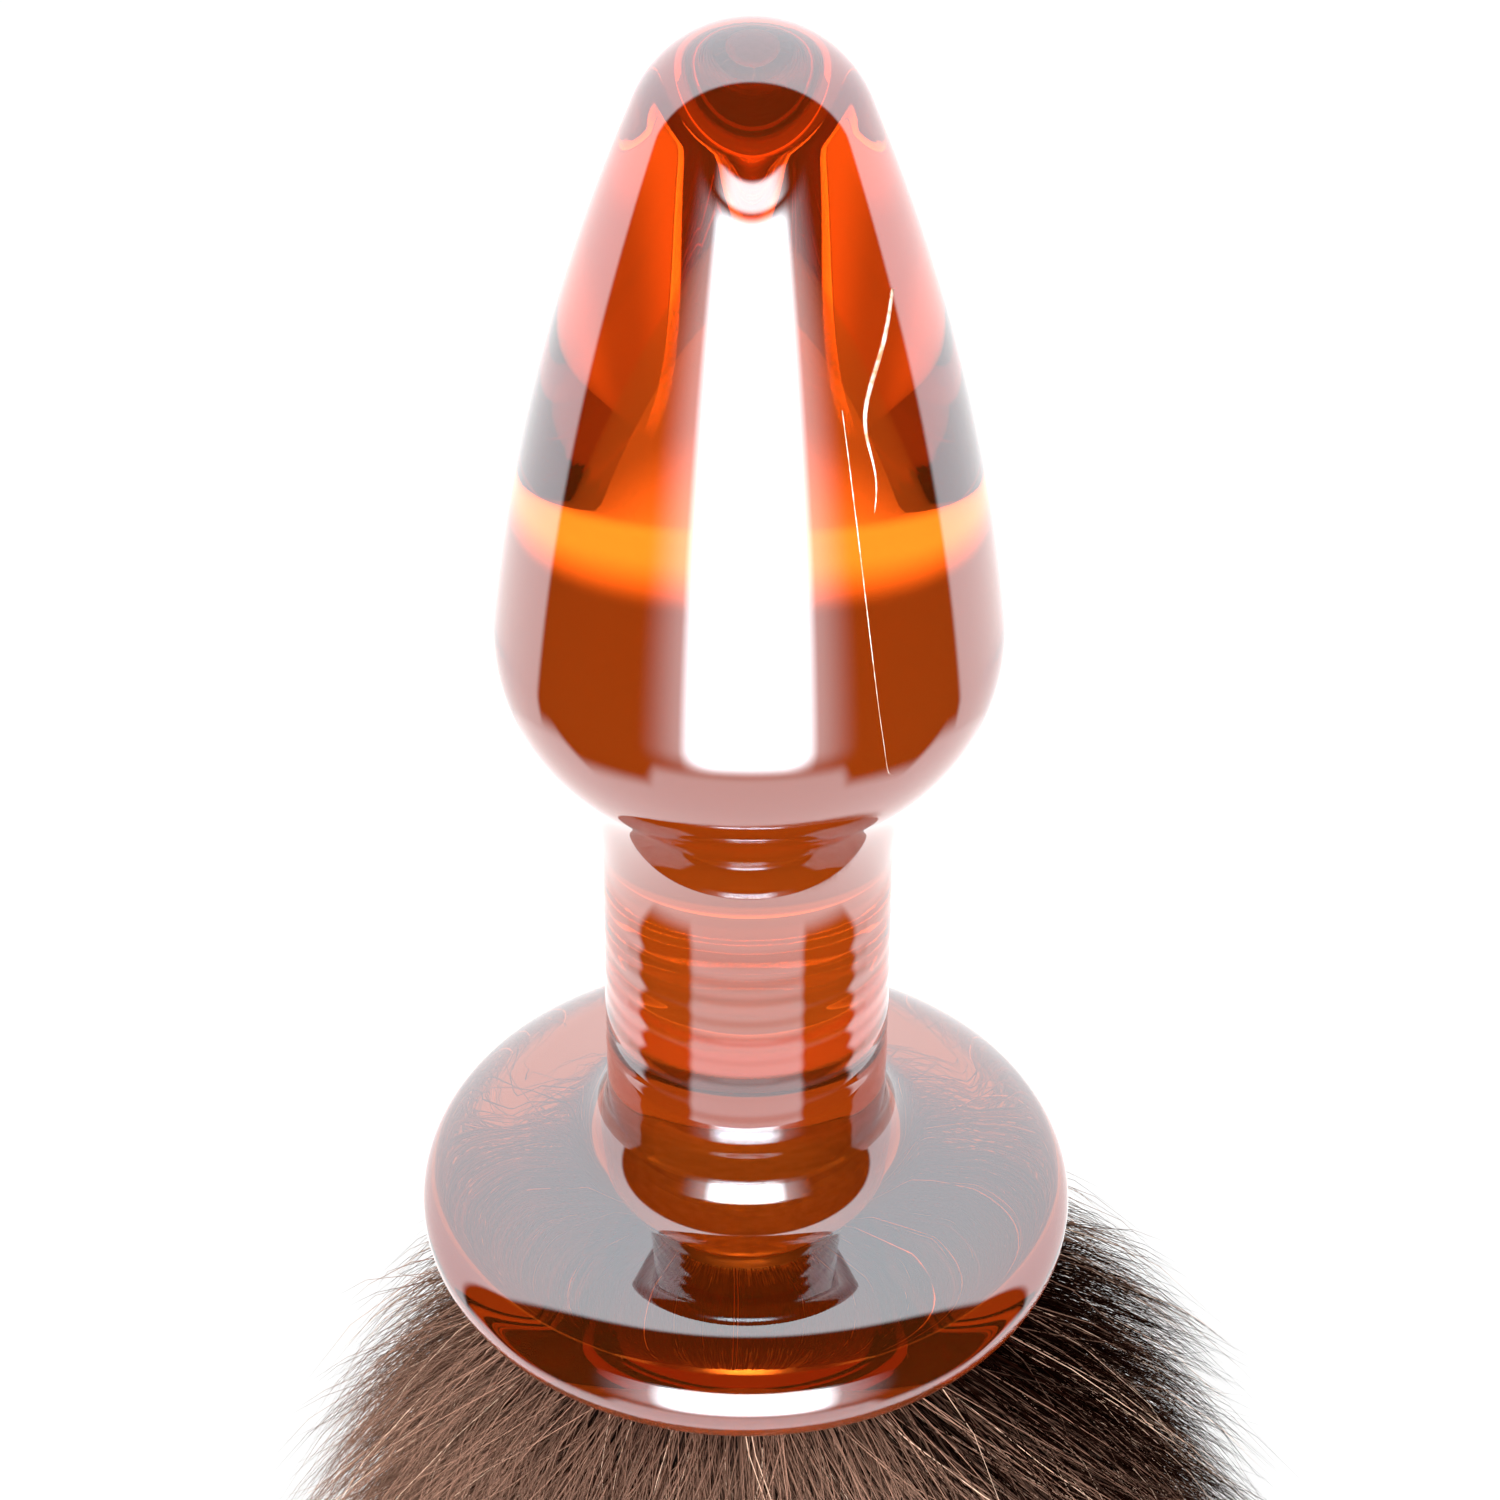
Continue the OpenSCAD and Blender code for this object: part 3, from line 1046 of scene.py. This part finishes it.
    def strip(
        self, sheet: NodeSheet, side: bpy.types.NodeSocket, rise: bpy.types.NodeSocket
    ) -> bpy.types.NodeSocket:
        """Return the light of the tall soft box and of the narrow one over it.

        Args:
            sheet: the world's nodes.
            side: the side angle.
            rise: the rise.
        """
        half = self.strip_half
        core = sheet.step(side, half + 10, half - 9)
        haze = sheet.math("MULTIPLY", sheet.step(side, half + 26, half - 6), self.haze_share)
        width = sheet.math("MAXIMUM", core, haze)
        tall = sheet.math(
            "MULTIPLY",
            sheet.step(rise, self.strip_top + 0.5, self.strip_top - 1.2),
            sheet.step(rise, self.strip_low - 9, self.strip_low + 9),
        )
        cap = sheet.math(
            "MULTIPLY",
            sheet.step(rise, self.cap_top, self.cap_top - 0.5),
            sheet.step(rise, self.strip_top + 0.4, self.strip_top + 0.9),
        )
        lit = sheet.math("MULTIPLY", sheet.math("MULTIPLY", width, tall), self.strip_light)
        over = sheet.math("MULTIPLY", sheet.math("MULTIPLY", core, cap), self.cap_light)
        return sheet.math("ADD", lit, over)

    def under(
        self, sheet: NodeSheet, side: bpy.types.NodeSocket, rise: bpy.types.NodeSocket
    ) -> bpy.types.NodeSocket:
        """Return the light of the white table under the plug, whose edge drops where the room is dark.

        Args:
            sheet: the world's nodes.
            side: the side angle.
            rise: the rise.
        """
        dark = sheet.math(
            "MULTIPLY",
            sheet.step(side, self.dark_from - 5, self.dark_from + 6),
            sheet.step(side, self.dark_to + 5, self.dark_to - 8),
        )
        edge = sheet.math("MULTIPLY_ADD", dark, self.table_drop, rise)
        return sheet.math("MULTIPLY", sheet.step(edge, *self.table_edge), self.floor_light)


@dataclass(frozen=True)
class NearTable:
    """A dim card round the back of the base: the shaded table, seen through the glass only."""

    radius: float = 62 * MM
    top: float = -1 * MM
    depth: float = 140 * MM
    reach: float = 100
    light: float = 0.50

    def build(self) -> None:
        """Stand the card up."""
        angle = np.radians(np.linspace(90 - self.reach, 90 + self.reach, 41))
        ring = np.stack([self.radius * np.cos(angle), self.radius * np.sin(angle)], axis=1)
        high = np.column_stack([ring, np.full(len(ring), self.top)])
        low = np.column_stack([ring, np.full(len(ring), self.top - self.depth)])
        count = len(ring)
        faces = [(k, k + 1, count + k + 1, count + k) for k in range(count - 1)]
        material, sheet = new_material("table_card")
        glow = sheet.add("ShaderNodeEmission", {"Color": (1, 1, 1, 1), "Strength": self.light})
        sheet.add("ShaderNodeOutputMaterial", {"Surface": glow.outputs[0]})
        card = mesh_piece("near_table", np.vstack([high, low]), faces, [material], smooth=False)
        card.visible_camera = False
        card.visible_diffuse = False
        card.visible_glossy = False
        card.visible_shadow = False
        card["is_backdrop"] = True


@dataclass(frozen=True)
class Floor:
    """A pale floor under the tail, which glass doesn't mirror."""

    drop: float = 20 * MM
    size: float = 6.0
    grey: float = 0.86
    glow: float = 0.30

    def build(self, lowest: float) -> None:
        """Lay the floor.

        Args:
            lowest: the height of the object's lowest point.
        """
        half = self.size / 2
        z = lowest - self.drop
        corners = np.array([[-half, -half, z], [half, -half, z], [half, half, z], [-half, half, z]])
        material, sheet = new_material("floor_paper")
        paper = sheet.add("ShaderNodeBsdfDiffuse", {"Color": (self.grey, self.grey, self.grey, 1)})
        glow = sheet.add("ShaderNodeEmission", {"Color": (1, 1, 1, 1), "Strength": self.glow})
        both = sheet.add("ShaderNodeAddShader", {0: paper.outputs[0], 1: glow.outputs[0]})
        sheet.add("ShaderNodeOutputMaterial", {"Surface": both.outputs[0]})
        floor = mesh_piece("floor", corners, [(0, 1, 2, 3)], [material], smooth=False)
        floor.visible_glossy = False
        floor.visible_transmission = False
        floor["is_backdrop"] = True


@dataclass(frozen=True)
class StudioCamera:
    """A short telephoto, close above the plug."""

    aim: tuple[float, float, float] = (0.0, 0.0, 45 * MM)
    distance: float = 250 * MM
    elevation: float = 35.77
    lens_mm: float = 84.6
    roll: float = 0.35
    shift: tuple[float, float] = (0.001, 0.0035)
    sensor_mm: float = 36

    def build(self) -> None:
        """Set the scene's camera."""
        data = bpy.data.cameras.new("camera")
        data.sensor_width = self.sensor_mm
        data.lens = self.lens_mm
        data.shift_x, data.shift_y = self.shift
        data.clip_start, data.clip_end = 0.01, 50
        camera = bpy.data.objects.new("camera", data)
        bpy.context.scene.collection.objects.link(camera)
        rise = math.radians(self.elevation)
        back = Vector((0, -math.cos(rise), math.sin(rise)))
        camera.location = Vector(self.aim) + back * self.distance
        turn = (-back).to_track_quat("-Z", "Y").to_matrix().to_4x4()
        roll = Matrix.Rotation(math.radians(self.roll), 4, "Z")
        camera.matrix_world = Matrix.Translation(camera.location) @ turn @ roll
        bpy.context.scene.camera = camera


def main() -> None:
    """Build every sub-assembly in order, then the studio."""
    logging.basicConfig(level=logging.INFO, format="%(name)s: %(message)s")
    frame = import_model()
    cad_box = [list(corner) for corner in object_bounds()]
    bpy.context.scene.view_settings.view_transform = "Standard"
    LOG.info("frame: %d nodes", len(frame["nodes"]))
    plug = GlassPlug()
    plug.build()
    GlassFlaws().build(plug)
    Fur().build()
    InnerParts().build(frame["nodes"])
    Surroundings().build()
    NearTable().build()
    Floor().build(cad_box[0][2])
    StudioCamera().build()


if __name__ == "__main__":
    main()
